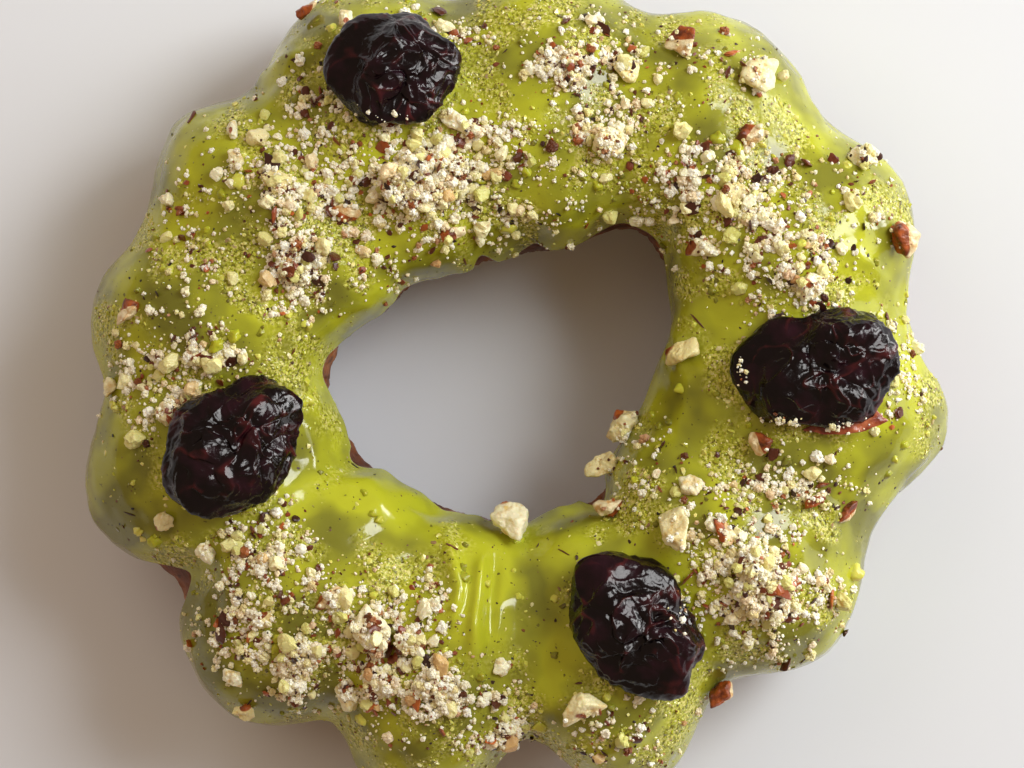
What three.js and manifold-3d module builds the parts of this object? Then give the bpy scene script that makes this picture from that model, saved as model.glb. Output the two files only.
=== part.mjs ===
// Ring doughnut: a lumpy fried dough ring, a poured matcha glaze over its upper part, four dried
// cranberries and chopped nuts on the glaze.
// Millimetres, +Z up. The ring lies flat on z = 0, with its outline's centre on the z axis.
import * as THREE from "three";
import { ConvexGeometry } from "three/addons/geometries/ConvexGeometry.js";
import { mergeVertices } from "three/addons/utils/BufferGeometryUtils.js";
import Module from "manifold-3d";

// ---- Driving dimensions ----
const CORE_HEIGHT = 11.4; // height of the lobes' centres above the resting plane
const LOBE_BLEND = 1.7; // how softly neighbouring dough lobes run together
const GLAZE_BLEND = 2.4; // the same for the glaze, which half fills the creases
const GLAZE_GAP = 0.35; // clearance between the dough and the glaze
const GLAZE_THICKNESS = 1.35; // glaze over the crown
const GLAZE_EDGE_THICKNESS = 0.55; // glaze where it ends, low on the sides
const NUT_GAP = 0.4; // clearance between a nut and what it rests on
const SOFT_GAP = 0.75; // the same for a berry or a heap of meal, whose lower face bridges small ridges
const SKIN_SWELL = 0.45; // unevenness of the fried surface

const STATIONS = 90; // sections round the ring
const DOUGH_POINTS = 26; // points round one section of dough
const GLAZE_TOP_POINTS = 15; // points across the glaze's upper face, in one section
const GLAZE_CORE_POINTS = 5; // points of the glaze's section inside the dough, before the dough is cut out

// The ring is twelve lobes of dough, pulled out by hand, so no two are alike. Each is an ellipsoid:
// bearing in degrees from +X, then reach (axis to centre) and the half sizes across, along and up.
const LOBES = [
  { bearing: -4, reach: 28.9, across: 14.6, along: 11.2, up: 13.2 },
  { bearing: 26, reach: 30.8, across: 12.5, along: 9.6, up: 13.6 },
  { bearing: 55, reach: 31.1, across: 11.2, along: 10.4, up: 13.0 },
  { bearing: 85, reach: 27.4, across: 14.1, along: 10.8, up: 13.4 },
  { bearing: 117, reach: 28.3, across: 15.2, along: 10.8, up: 13.8 },
  { bearing: 145, reach: 29.4, across: 13.8, along: 8.8, up: 13.4 },
  { bearing: 169, reach: 31.4, across: 12.1, along: 9.0, up: 12.8 },
  { bearing: 196, reach: 32.3, across: 12.9, along: 10.6, up: 12.6 },
  { bearing: 226, reach: 30.7, across: 14.4, along: 10.9, up: 13.2 },
  { bearing: 255, reach: 29.5, across: 15.0, along: 9.3, up: 13.9 },
  { bearing: 287, reach: 29.0, across: 14.0, along: 8.8, up: 13.4 },
  { bearing: 321, reach: 27.6, across: 13.7, along: 11.0, up: 13.7 },
];

// Where the glaze stops, as an angle in the section: 0 points outwards, 90 up, 180 to the hole.
// Its outer edge runs past the widest point, its inner edge stops about there.
const OUTER_EDGE = -17;
const INNER_EDGE = 183;
// Runs (longer) and bare places (shorter): bearing, how wide in degrees, how many degrees further down.
const OUTER_RUNS = [
  { bearing: 3, width: 7, drop: -40 },
  { bearing: 30, width: 9, drop: 12 },
  { bearing: 62, width: 8, drop: 15 },
  { bearing: 88, width: 6, drop: -8 },
  { bearing: 112, width: 8, drop: 14 },
  { bearing: 146, width: 7, drop: 10 },
  { bearing: 172, width: 6, drop: 16 },
  { bearing: 193, width: 7, drop: 6 },
  { bearing: 210, width: 5, drop: -58 },
  { bearing: 226, width: 8, drop: 10 },
  { bearing: 240, width: 4, drop: -46 },
  { bearing: 254, width: 7, drop: 12 },
  { bearing: 270, width: 4, drop: -52 },
  { bearing: 288, width: 8, drop: 14 },
  { bearing: 305, width: 4, drop: -24 },
  { bearing: 324, width: 9, drop: 14 },
  { bearing: 350, width: 6, drop: 10 },
];
const INNER_RUNS = [
  { bearing: 15, width: 12, drop: 18 },
  { bearing: 52, width: 16, drop: -30 },
  { bearing: 84, width: 10, drop: -24 },
  { bearing: 107, width: 9, drop: -26 },
  { bearing: 135, width: 9, drop: 8 },
  { bearing: 176, width: 13, drop: -34 },
  { bearing: 207, width: 8, drop: -28 },
  { bearing: 250, width: 16, drop: 12 },
  { bearing: 304, width: 6, drop: -26 },
  { bearing: 338, width: 12, drop: 14 },
];

// Dried cranberries: place on the plan, half sizes, turn about z in degrees, and how much one end tapers.
const CRANBERRIES = [
  { name: "cranberry_top", x: -13.0, y: 30.8, half: [6.8, 6.4, 3.6], turn: 20, taper: 0.06 },
  { name: "cranberry_left", x: -29.2, y: -6.9, half: [9.0, 6.6, 3.4], turn: 48, taper: 0.08 },
  { name: "cranberry_right", x: 29.7, y: 1.0, half: [8.8, 6.6, 3.6], turn: 14, taper: 0.12 },
  { name: "cranberry_bottom", x: 11.4, y: -25.0, half: [8.5, 6.3, 3.4], turn: -48, taper: 0.18 },
];

// Heaps of fine nut meal: place on the plan, half sizes across and turn.
const MEAL_HEAPS = [
  { x: -9.6, y: 20.4, half: [6.8, 3.6, 1.5], turn: 8 },
  { x: -22.9, y: 12.3, half: [4.2, 3.0, 1.2], turn: 70 },
  { x: 24.2, y: -20.4, half: [5.4, 3.2, 1.6], turn: -55 },
  { x: -8.0, y: -31.2, half: [3.8, 2.8, 1.3], turn: -30 },
  { x: -22.6, y: -28.3, half: [3.2, 2.4, 1.2], turn: 60 },
  { x: 3.9, y: 31.4, half: [4.2, 2.4, 1.2], turn: 10 },
  { x: -1.6, y: -35.3, half: [2.8, 2.2, 1.1], turn: 20 },
];

// Chopped nuts: x and y on the plan, length, width, turn in degrees, and whether brown skin is left on.
const KERNEL = "nut_kernel";
const SKIN = "nut_skin";
const NUTS = [
  [-21.3, 37.2, 2.6, 2.2, 10, SKIN],
  [-17.6, 36.5, 2.0, 1.6, 80, KERNEL],
  [-28.7, 21.9, 2.2, 1.7, 120, KERNEL],
  [-26.6, 23.8, 2.3, 2.0, 15, KERNEL],
  [-24.8, 19.8, 3.2, 2.5, -20, KERNEL],
  [-29.1, 25.0, 2.4, 1.3, 105, KERNEL],
  [-6.2, 26.0, 5.2, 1.8, -28, KERNEL],
  [-7.1, 15.2, 2.8, 1.5, 20, SKIN],
  [-18.0, 17.0, 2.9, 2.2, -35, SKIN],
  [-38.8, 6.5, 2.9, 2.1, 70, SKIN],
  [-41.1, -0.9, 2.3, 2.0, 0, KERNEL],
  [-35.7, -3.5, 2.6, 2.0, 80, KERNEL],
  [-35.6, -14.0, 2.4, 1.8, 25, KERNEL],
  [-31.9, -16.6, 2.7, 1.9, 110, KERNEL],
  [-29.2, -30.0, 2.0, 1.9, 0, KERNEL],
  [-28.0, -33.2, 2.3, 1.8, 10, KERNEL],
  [-26.1, -24.2, 2.5, 1.8, 5, KERNEL],
  [-19.3, -22.0, 3.5, 2.0, 25, SKIN],
  [-15.0, -25.4, 5.6, 3.6, -62, KERNEL],
  [-10.7, -26.5, 3.0, 2.7, 0, KERNEL],
  [-14.1, -30.2, 3.7, 2.6, -65, KERNEL],
  [-17.0, -31.8, 3.6, 2.7, -75, KERNEL],
  [-2.1, -28.8, 2.0, 1.8, 40, KERNEL],
  [6.3, -33.0, 4.2, 3.7, 60, KERNEL],
  [19.7, -31.6, 3.4, 2.8, 20, SKIN],
  [10.1, -4.3, 4.0, 3.4, 20, KERNEL],
  [8.2, -9.0, 3.6, 3.3, 50, KERNEL],
  [9.5, -12.9, 2.9, 2.5, 35, SKIN],
  [-0.7, -15.2, 5.0, 3.5, -55, KERNEL],
  [16.8, -15.4, 5.2, 3.3, -60, KERNEL],
  [20.3, -15.2, 3.0, 1.9, -55, SKIN],
  [17.4, -10.9, 2.6, 2.3, 0, KERNEL],
  [24.8, -6.4, 2.8, 2.4, -25, SKIN],
  [32.7, -13.1, 2.9, 1.6, 20, SKIN],
  [29.6, -11.9, 2.6, 1.9, 60, SKIN],
  [23.6, 30.8, 4.2, 3.5, 50, KERNEL],
  [16.8, 33.5, 3.3, 2.9, -40, SKIN],
  [10.6, 30.6, 2.8, 2.4, -50, KERNEL],
  [8.7, 24.7, 3.8, 3.4, 20, KERNEL],
  [34.3, 22.2, 3.8, 2.8, 30, KERNEL],
  [38.0, 14.5, 3.7, 3.0, 70, SKIN],
  [19.2, 12.9, 3.4, 2.6, -35, KERNEL],
  [17.4, 2.6, 4.6, 2.9, 50, KERNEL],
  [21.6, 18.9, 3.0, 2.4, 75, KERNEL],
  [23.0, 24.7, 2.9, 2.5, 10, SKIN],
  [29.1, 9.7, 3.0, 2.5, 25, KERNEL],
];
const NUT_THICKNESS = 0.68; // thickness as a share of the width
const NUT_CORNERS = 13; // points whose hull makes one chopped piece

// ---- Materials ----
const MATERIALS = {
  dough: new THREE.MeshStandardMaterial({ color: 0x8a4a1f, roughness: 0.75, metalness: 0 }),
  glaze: new THREE.MeshStandardMaterial({ color: 0xa3a82b, roughness: 0.22, metalness: 0 }),
  cranberry: new THREE.MeshStandardMaterial({ color: 0x1f0b10, roughness: 0.3, metalness: 0 }),
  meal: new THREE.MeshStandardMaterial({ color: 0xe6d5b4, roughness: 0.9, metalness: 0 }),
  [KERNEL]: new THREE.MeshStandardMaterial({ color: 0xeadfb2, roughness: 0.7, metalness: 0 }),
  [SKIN]: new THREE.MeshStandardMaterial({ color: 0xa8683a, roughness: 0.75, metalness: 0 }),
};

// ---- Small helpers ----
const HALVINGS = 30; // steps of every search for a surface
const rad = THREE.MathUtils.degToRad;
const Z_AXIS = new THREE.Vector3(0, 0, 1);

// Evenly spaced shares from 0 to 1.
const spread = (count) => Array.from({ length: count }, (_, i) => i / (count - 1));

// A repeatable random number generator, so that every build gives the same nuts.
function randomFrom(seed) {
  let state = seed >>> 0;
  return () => {
    state = (state + 0x6d2b79f5) >>> 0;
    let t = Math.imul(state ^ (state >>> 15), 1 | state);
    t = (t + Math.imul(t ^ (t >>> 7), 61 | t)) ^ t;
    return ((t ^ (t >>> 14)) >>> 0) / 4294967296;
  };
}

// The smallest of some distances, rounded where two are close.
function softMin(distances, blend) {
  const least = Math.min(...distances);
  const sum = distances.reduce((total, d) => total + Math.exp((least - d) / blend), 0);
  return least - blend * Math.log(sum);
}

// Distance, near enough, from a point to an ellipsoid; offset is measured in the ellipsoid's own axes.
function ellipsoidDistance(offset, half) {
  const [u, v, w] = [offset.x / half[0], offset.y / half[1], offset.z / half[2]];
  const scaled = Math.hypot(u, v, w);
  const slope = Math.hypot(u / half[0], v / half[1], w / half[2]);
  return slope < 1e-9 ? -Math.min(...half) : (scaled * (scaled - 1)) / slope;
}

// ---- Boolean cuts ----
const wasm = await Module();
wasm.setup();

function solidOf(geometry) {
  const bare = new THREE.BufferGeometry().setAttribute("position", geometry.getAttribute("position"));
  bare.setIndex(geometry.getIndex());
  const merged = mergeVertices(bare, 1e-4);
  return new wasm.Manifold(
    new wasm.Mesh({
      numProp: 3,
      vertProperties: merged.getAttribute("position").array,
      triVerts: new Uint32Array(merged.getIndex().array),
    }),
  );
}

function geometryOf(solid) {
  const mesh = solid.getMesh();
  const geometry = new THREE.BufferGeometry();
  geometry.setAttribute("position", new THREE.BufferAttribute(mesh.vertProperties, 3));
  geometry.setIndex(new THREE.BufferAttribute(mesh.triVerts, 1));
  geometry.computeVertexNormals();
  return geometry;
}

// ---- The dough and glaze as distance fields, negative inside ----
function lobeDistances(point) {
  return LOBES.map((lobe) => {
    const centre = new THREE.Vector3(lobe.reach, 0, CORE_HEIGHT).applyAxisAngle(Z_AXIS, rad(lobe.bearing));
    const offset = point.clone().sub(centre).applyAxisAngle(Z_AXIS, -rad(lobe.bearing));
    return ellipsoidDistance(offset, [lobe.across, lobe.along, lobe.up]);
  });
}

// Slow swells of the fried surface: two crossed waves and a finer one, a few millimetres apart.
function swell({ x, y, z }) {
  const broad = Math.sin(x * 0.41 + z * 0.23) * Math.sin(y * 0.37 - z * 0.19);
  const fine = Math.sin(x * 0.83 - y * 0.71 + z * 0.5);
  return SKIN_SWELL * (broad + 0.5 * fine);
}

const doughField = (point) => softMin(lobeDistances(point), LOBE_BLEND) - swell(point);
const glazeField = (point) =>
  softMin(lobeDistances(point), GLAZE_BLEND) - swell(point) - GLAZE_GAP - GLAZE_THICKNESS;

// Outward direction of a field's surface at a point, averaged over a stretch of the surface.
function normalOf(field, point, stretch) {
  const slopes = ["x", "y", "z"].map((axis) => {
    const ahead = point.clone();
    const behind = point.clone();
    ahead[axis] += stretch;
    behind[axis] -= stretch;
    return field(ahead) - field(behind);
  });
  return new THREE.Vector3(...slopes).normalize();
}

// Distance along a ray to where the field crosses zero between near and far.
function crossing(field, origin, direction, near, far) {
  const startsInside = field(origin.clone().addScaledVector(direction, near)) < 0;
  let [low, high] = [near, far];
  for (let i = 0; i < HALVINGS; i++) {
    const middle = (low + high) / 2;
    const inside = field(origin.clone().addScaledVector(direction, middle)) < 0;
    if (inside === startsInside) low = middle;
    else high = middle;
  }
  return (low + high) / 2;
}

// ---- Sections of the ring ----
const SECTION_REACH = 30; // further than any point of a section from its middle
const OUTSIDE = 70; // beyond the whole ring
const EDGE_STEEPNESS = 1.2; // how soon the glaze reaches its full thickness from an edge
const CORE_SHARE = 0.5; // how far out the glaze's uncut section reaches inside the dough

// The middle of the section at a bearing: halfway between the hole and the outside, at core height.
function sectionMiddle(bearing) {
  const outwards = new THREE.Vector3(Math.cos(bearing), Math.sin(bearing), 0);
  const axis = new THREE.Vector3(0, 0, CORE_HEIGHT);
  const typicalReach = LOBES[0].reach;
  const inner = crossing(doughField, axis, outwards, 0, typicalReach);
  const outer = crossing(doughField, axis, outwards, typicalReach, OUTSIDE);
  return { outwards, middle: axis.clone().addScaledVector(outwards, (inner + outer) / 2) };
}

const SECTIONS = Array.from({ length: STATIONS }, (_, i) => {
  const bearing = (2 * Math.PI * i) / STATIONS;
  return { bearing, ...sectionMiddle(bearing) };
});

const inSection = (section, angle) =>
  section.outwards.clone().multiplyScalar(Math.cos(angle)).addScaledVector(Z_AXIS, Math.sin(angle));

// Joins one closed loop of points per station into a ring-shaped mesh.
function ringGeometry(loops) {
  const count = loops[0].length;
  const positions = loops.flat().flatMap((p) => [p.x, p.y, p.z]);
  const index = [];
  loops.forEach((_, i) => {
    const next = (i + 1) % loops.length;
    for (let j = 0; j < count; j++) {
      const k = (j + 1) % count;
      const [a, b, c, d] = [i * count + j, next * count + j, next * count + k, i * count + k];
      index.push(a, b, c, a, c, d);
    }
  });
  const geometry = new THREE.BufferGeometry();
  geometry.setAttribute("position", new THREE.Float32BufferAttribute(positions, 3));
  geometry.setIndex(index);
  geometry.computeVertexNormals();
  return geometry;
}

// The dough, grown by a clearance if one is given: its lowest part is flattened on the resting plane.
function doughGeometry(clearance = 0) {
  const loops = SECTIONS.map((section) =>
    Array.from({ length: DOUGH_POINTS }, (_, j) => {
      const direction = inSection(section, (2 * Math.PI * j) / DOUGH_POINTS);
      const reach = clearance + crossing(doughField, section.middle, direction, 0, SECTION_REACH);
      const point = section.middle.clone().addScaledVector(direction, reach);
      if (point.z > 0) return point;
      const floorReach = CORE_HEIGHT / -direction.z;
      return section.middle.clone().addScaledVector(direction, floorReach).setZ(0);
    }),
  );
  return ringGeometry(loops);
}

// How much further the glaze runs at a bearing, in radians of section angle.
function runs(list, bearing) {
  return list.reduce((total, run) => {
    let away = THREE.MathUtils.radToDeg(bearing) - run.bearing;
    away -= 360 * Math.round(away / 360);
    return total + rad(run.drop) * Math.exp(-((away / run.width) ** 2));
  }, 0);
}

// The glaze: a band over the ring, thick on the crown and thin at its two edges. Each section is the
// glaze's upper face closed through the inside of the dough, and the dough with its clearance is cut out.
function glazeGeometry() {
  const loops = SECTIONS.map((section) => {
    const from = rad(OUTER_EDGE) - runs(OUTER_RUNS, section.bearing);
    const to = rad(INNER_EDGE) + runs(INNER_RUNS, section.bearing);
    const upperPoint = (share) => {
      const direction = inSection(section, from + (to - from) * share);
      const under = crossing(doughField, section.middle, direction, 0, SECTION_REACH) + GLAZE_GAP;
      const top = crossing(glazeField, section.middle, direction, 0, SECTION_REACH);
      const fullness = Math.min(1, EDGE_STEEPNESS * Math.sqrt(Math.sin(Math.PI * share)));
      const thickness = THREE.MathUtils.lerp(GLAZE_EDGE_THICKNESS, top - under, fullness);
      return section.middle.clone().addScaledVector(direction, under + thickness);
    };
    const corePoint = (share) => {
      const direction = inSection(section, from + (to - from) * share);
      const reach = crossing(doughField, section.middle, direction, 0, SECTION_REACH);
      return section.middle.clone().addScaledVector(direction, reach * CORE_SHARE);
    };
    const upper = spread(GLAZE_TOP_POINTS).map(upperPoint);
    const core = spread(GLAZE_CORE_POINTS).map((share) => corePoint(1 - share));
    return [...upper, ...core];
  });
  const band = solidOf(ringGeometry(loops));
  const room = solidOf(doughGeometry(GLAZE_GAP));
  return geometryOf(band.subtract(room));
}

// ---- Toppings ----
const SEAT_LIFT = 1.5; // a topping's seat has glaze at least this far above the lobes' centres
const SEAT_TRIES = 51; // places tried on the way from a topping's plan to the middle of its section
const DROP = 8; // toppings are lowered onto the glaze from this far out
const CROWN = 0.7; // how much of a soft piece's half thickness is always left over its lower face
const BERRY_SHAPE = { roughness: 0.09, sink: 0.5, detail: 4 };
const HEAP_SHAPE = { roughness: 0.12, sink: 0.5, detail: 2 };

const ground = []; // the glaze, and every topping that already lies on it
const caster = new THREE.Raycaster();

// How far a point stands off the ground, against the way the ground faces; negative inside it.
function heightOver(point, facing) {
  caster.set(point.clone().addScaledVector(facing, DROP), facing.clone().negate());
  const [first] = caster.intersectObjects(ground);
  return first ? first.distance - DROP : Infinity;
}

// The glaze under a place on the plan: its height and the way it faces. A place over the hole or past the
// rim moves back to the nearest glaze, where the surface faces sideways.
function glazeUnder(x, y, stretch) {
  const { middle } = sectionMiddle(Math.atan2(y, x));
  const plan = new THREE.Vector3(x, y, middle.z);
  const down = new THREE.Vector3(0, 0, -1);
  const seatHeight = CORE_HEIGHT + SEAT_LIFT;
  for (const share of spread(SEAT_TRIES)) {
    const seat = plan.clone().lerp(middle, share);
    if (glazeField(seat.clone().setZ(seatHeight)) < 0) {
      const above = seat.clone().setZ(OUTSIDE);
      const drop = crossing(glazeField, above, down, 0, OUTSIDE - seatHeight);
      const point = above.addScaledVector(down, drop);
      return { point, facing: normalOf(glazeField, point, stretch) };
    }
  }
  throw new Error(`no glaze near ${x}, ${y}`);
}

// Turns a piece's own axes: its length lies at the given turn, and its thickness faces out of the glaze.
function lyingOn(facing, turn) {
  const flat = new THREE.Quaternion().setFromAxisAngle(Z_AXIS, rad(turn));
  return new THREE.Quaternion().setFromUnitVectors(Z_AXIS, facing).multiply(flat);
}

// Unevenness of a soft piece's skin, from -1 to 1, in a direction from its middle.
function folds({ x, y, z }, phase) {
  const crossed = Math.sin(x * 5.2 + phase) * Math.sin(y * 4.4 - phase);
  const slanted = Math.sin(z * 6 + x * 3.1 - y * 4.7 + phase);
  return THREE.MathUtils.clamp(crossed + 0.6 * slanted, -1, 1);
}

// A berry or a heap of meal: an ellipsoid with an uneven skin, whose lower face follows the glaze.
function softPiece({ x, y, half, turn, taper = 0 }, { seed, roughness, sink, detail }) {
  const { point, facing } = glazeUnder(x, y, half[1] / 2);
  const turned = lyingOn(facing, turn);
  const centre = point.clone().addScaledVector(facing, half[2] * sink);
  const phase = randomFrom(seed)() * 2 * Math.PI;
  const ball = new THREE.IcosahedronGeometry(1, detail);
  ball.deleteAttribute("normal");
  ball.deleteAttribute("uv");
  const geometry = mergeVertices(ball);
  const position = geometry.getAttribute("position");
  for (let i = 0; i < position.count; i++) {
    const direction = new THREE.Vector3().fromBufferAttribute(position, i);
    const size = 1 - roughness + roughness * folds(direction, phase);
    const narrowed = 1 - taper * direction.x;
    const clearance = SOFT_GAP + half[2] * CROWN * Math.max(0, direction.z);
    const own = direction.multiply(new THREE.Vector3(half[0], half[1] * narrowed, half[2]));
    const vertex = own.multiplyScalar(size).applyQuaternion(turned).add(centre);
    vertex.addScaledVector(facing, Math.max(0, clearance - heightOver(vertex, facing)));
    position.setXYZ(i, vertex.x, vertex.y, vertex.z);
  }
  geometry.computeVertexNormals();
  return geometry;
}

// The corners of a chopped nut: random directions, stretched to its length, width and thickness.
function nutCorners(size, random) {
  const corners = Array.from({ length: NUT_CORNERS }, () =>
    new THREE.Vector3(random() - 0.5, random() - 0.5, random() - 0.5).normalize(),
  );
  const box = new THREE.Box3().setFromPoints(corners);
  const middle = box.getCenter(new THREE.Vector3());
  const span = box.getSize(new THREE.Vector3());
  return corners.map((corner) => corner.sub(middle).divide(span).multiply(size));
}

// Points all over a hull: its corners, and the middles of its edges and faces.
function pointsOver(hull) {
  const position = hull.getAttribute("position");
  const points = [];
  for (let i = 0; i < position.count; i += 3) {
    const [a, b, c] = [0, 1, 2].map((k) => new THREE.Vector3().fromBufferAttribute(position, i + k));
    const centre = new THREE.Triangle(a, b, c).getMidpoint(new THREE.Vector3());
    const middles = [[a, b], [b, c], [c, a]].map(([from, to]) => from.clone().lerp(to, 0.5));
    points.push(a, b, c, centre, ...middles);
  }
  return points;
}

// A chopped nut: the hull of its corners, lowered along the ground's facing until it lies on the ground.
function nutPiece([x, y, length, width, turn], seed) {
  const { point, facing } = glazeUnder(x, y, width / 2);
  const turned = lyingOn(facing, turn);
  const size = new THREE.Vector3(length, width, width * NUT_THICKNESS);
  const corners = nutCorners(size, randomFrom(seed)).map((p) => p.applyQuaternion(turned).add(point));
  const hull = new ConvexGeometry(corners);
  const least = Math.min(...pointsOver(hull).map((p) => heightOver(p, facing)));
  return hull.translate(...facing.multiplyScalar(NUT_GAP - least).toArray());
}

// ---- Assembly ----
const doughnut = new THREE.Group();

function add(name, geometry, material) {
  const mesh = new THREE.Mesh(geometry, material);
  mesh.name = name;
  doughnut.add(mesh);
  return mesh;
}

add("dough_ring", doughGeometry(), MATERIALS.dough);
ground.push(add("matcha_glaze", glazeGeometry(), MATERIALS.glaze));

CRANBERRIES.forEach((berry, i) => {
  const geometry = softPiece(berry, { seed: 11 + i, ...BERRY_SHAPE });
  ground.push(add(berry.name, geometry, MATERIALS.cranberry));
});

MEAL_HEAPS.forEach((heap, i) => {
  const geometry = softPiece(heap, { seed: 31 + i, ...HEAP_SHAPE });
  ground.push(add(`nut_meal_heap_${i + 1}`, geometry, MATERIALS.meal));
});

NUTS.forEach((nut, i) => {
  const kind = nut[5];
  const name = `${kind}_${String(i + 1).padStart(2, "0")}`;
  ground.push(add(name, nutPiece(nut, 101 + i), MATERIALS[kind]));
});

// Centre the outline on the z axis; the resting plane stays at z = 0.
const outline = new THREE.Box3().setFromObject(doughnut).getCenter(new THREE.Vector3());
doughnut.position.set(-outline.x, -outline.y, 0);

export default doughnut;
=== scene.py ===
"""Ring doughnut: its looks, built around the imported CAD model.

Shapes are worked out in millimetres, in the frame of the CAD model: +Z up, the doughnut resting on z = 0.
Every mesh is scaled to metres as it is made. A plan is the view from straight above.
"""

import functools
import itertools
import math

import bmesh
import bpy
import numpy as np
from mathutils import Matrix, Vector
from mathutils.bvhtree import BVHTree


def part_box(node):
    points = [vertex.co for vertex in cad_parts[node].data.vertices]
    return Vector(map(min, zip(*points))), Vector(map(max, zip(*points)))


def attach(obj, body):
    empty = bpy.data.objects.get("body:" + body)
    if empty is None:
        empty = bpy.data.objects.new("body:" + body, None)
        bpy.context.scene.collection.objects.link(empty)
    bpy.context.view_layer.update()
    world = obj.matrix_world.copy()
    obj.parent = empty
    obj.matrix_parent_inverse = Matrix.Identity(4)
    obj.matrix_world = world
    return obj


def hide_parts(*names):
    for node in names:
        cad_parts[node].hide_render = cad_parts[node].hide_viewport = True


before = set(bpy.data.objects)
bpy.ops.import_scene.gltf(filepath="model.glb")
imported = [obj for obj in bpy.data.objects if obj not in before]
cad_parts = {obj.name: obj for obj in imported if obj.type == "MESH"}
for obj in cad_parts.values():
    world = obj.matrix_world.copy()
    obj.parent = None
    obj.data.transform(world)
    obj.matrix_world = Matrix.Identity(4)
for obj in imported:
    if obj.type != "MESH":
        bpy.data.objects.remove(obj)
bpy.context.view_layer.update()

MM = 0.001
FULL_TURN = 2 * math.pi
FAR = 70.0  # beyond the whole doughnut
SKY = 60.0  # above everything

# ---- Camera, floor and lights ----
AIM = (-0.56, 0.52, 15.0)  # the point that the camera looks straight down on
SEEN_WIDTH = 105.5  # how much of the aimed plane the picture is wide
SENSOR_WIDTH = 36.0
LENS = 180.0
FLOOR_SIZE = 4000.0
FLOOR_DROP = 0.2  # the floor lies this far below the doughnut
LIT_POINT = (0, 0, 10)  # what every light faces
# Each light: its name, place, width and height, power in watts, colour, and whether wet surfaces mirror it.
LIGHTS = [
    ("window", (330, 190, 400), (190, 250), 1.7, (1, 1, 1), True),
    ("broad", (350, 215, 385), (420, 420), 1.1, (0.56, 0.82, 1.0), False),
    ("left", (-300, 250, 400), (420, 420), 0.66, (1.0, 0.93, 0.85), False),
    ("card", (400, 165, 85), (200, 110), 0.8, (1, 1, 1), True),
    ("wall", (520, 120, 110), (520, 200), 0.7, (1, 1, 1), True),
]
WORLD_COLOUR = (0.31, 0.213, 0.14, 1)


# ---- Noise and small sums ----
class Noise:
    """Repeatable smooth noise in space, about -1 to 1: random slopes at the corners of a cubic lattice."""

    def __init__(self, seed):
        rng = np.random.default_rng(seed)
        self.order = np.concatenate([rng.permutation(256)] * 2)
        slopes = rng.normal(size=(256, 3))
        self.slopes = slopes / np.linalg.norm(slopes, axis=1)[:, None]

    def __call__(self, points, period=1.0):
        scaled = np.asarray(points) / period
        cell = np.floor(scaled).astype(int)
        inside = scaled - cell
        fade = inside**3 * (inside * (inside * 6 - 15) + 10)
        total = np.zeros(len(scaled))
        for corner in itertools.product((0, 1), repeat=3):
            x, y, z = ((cell + corner) & 255).T
            slope = self.slopes[self.order[self.order[self.order[x] + y] + z]]
            weight = np.prod(np.where(corner, fade, 1 - fade), axis=1)
            total += weight * np.sum(slope * (inside - corner), axis=1)
        return total * 1.6

    def fractal(self, points, period, octaves, gain=0.5):
        """Several octaves of noise, each of half the period before."""
        return sum(gain**i * self(points, period / 2**i) for i in range(octaves))


def smoothstep(low, high, value):
    """0 at the low end, 1 at the high end, and a smooth rise between them."""
    share = np.clip((value - low) / (high - low), 0, 1)
    return share * share * (3 - 2 * share)


def around(count):
    """Angles spaced evenly round a full turn."""
    return np.arange(count) * FULL_TURN / count


def degrees_off(bearing, place):
    """How far bearings in degrees are from a place, from -180 to 180."""
    return (bearing - place + 180) % 360 - 180


def turned(places, degrees):
    """Places on the plan, turned about its origin."""
    turn = math.radians(degrees)
    return places @ np.array([[math.cos(turn), math.sin(turn)], [-math.sin(turn), math.cos(turn)]])


# ---- Meshes ----
def make_piece(name, vertices, faces, material, smooth=True):
    """A closed mesh from millimetre vertices, riding on the root body."""
    mesh = bpy.data.meshes.new(name)
    mesh.from_pydata((np.asarray(vertices) * MM).tolist(), [], [list(map(int, f)) for f in faces])
    mesh.polygons.foreach_set("use_smooth", [smooth] * len(mesh.polygons))
    mesh.update()
    piece = bpy.data.objects.new(name, mesh)
    bpy.context.scene.collection.objects.link(piece)
    mesh.materials.append(material)
    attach(piece, "root")
    return piece


def mark(piece, name, values):
    """Stores a number per vertex for the material to read."""
    attribute = piece.data.attributes.new(name, "FLOAT", "POINT")
    attribute.data.foreach_set("value", np.asarray(values, dtype=np.float32))


def search_tree(pieces):
    """A search tree over CAD nodes or finished pieces, in millimetres."""
    vertices, faces = [], []
    for piece in pieces:
        start = len(vertices)
        vertices += [v.co / MM for v in piece.data.vertices]
        faces += [[start + i for i in p.vertices] for p in piece.data.polygons]
    return BVHTree.FromPolygons(vertices, faces)


def below(tree, places):
    """A surface's points and normals straight below places on the plan; places off it are dropped."""
    hits = [tree.ray_cast(Vector((x, y, SKY)), Vector((0, 0, -1))) for x, y in places]
    hits = [hit for hit in hits if hit[0] is not None]
    return np.array([hit[0] for hit in hits]), np.array([hit[1] for hit in hits])


# ---- The ring, sampled from the CAD model ----
CORE_SHARE = 0.448  # height of the sections' middles, as a share of the dough's height
BEARINGS = 360  # samples round the ring
TURNS = 180  # samples round a section
OFF_GLAZE = 20.0  # further from a section's middle than the glaze reaches
# How many samples each is blurred over, round the ring and round the section.
FACET_BLUR = (2.6, 2.2)
THICKNESS_BLUR = (3.5, 4.5)
EDGE_BLUR = (1.6, 0)


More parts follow.
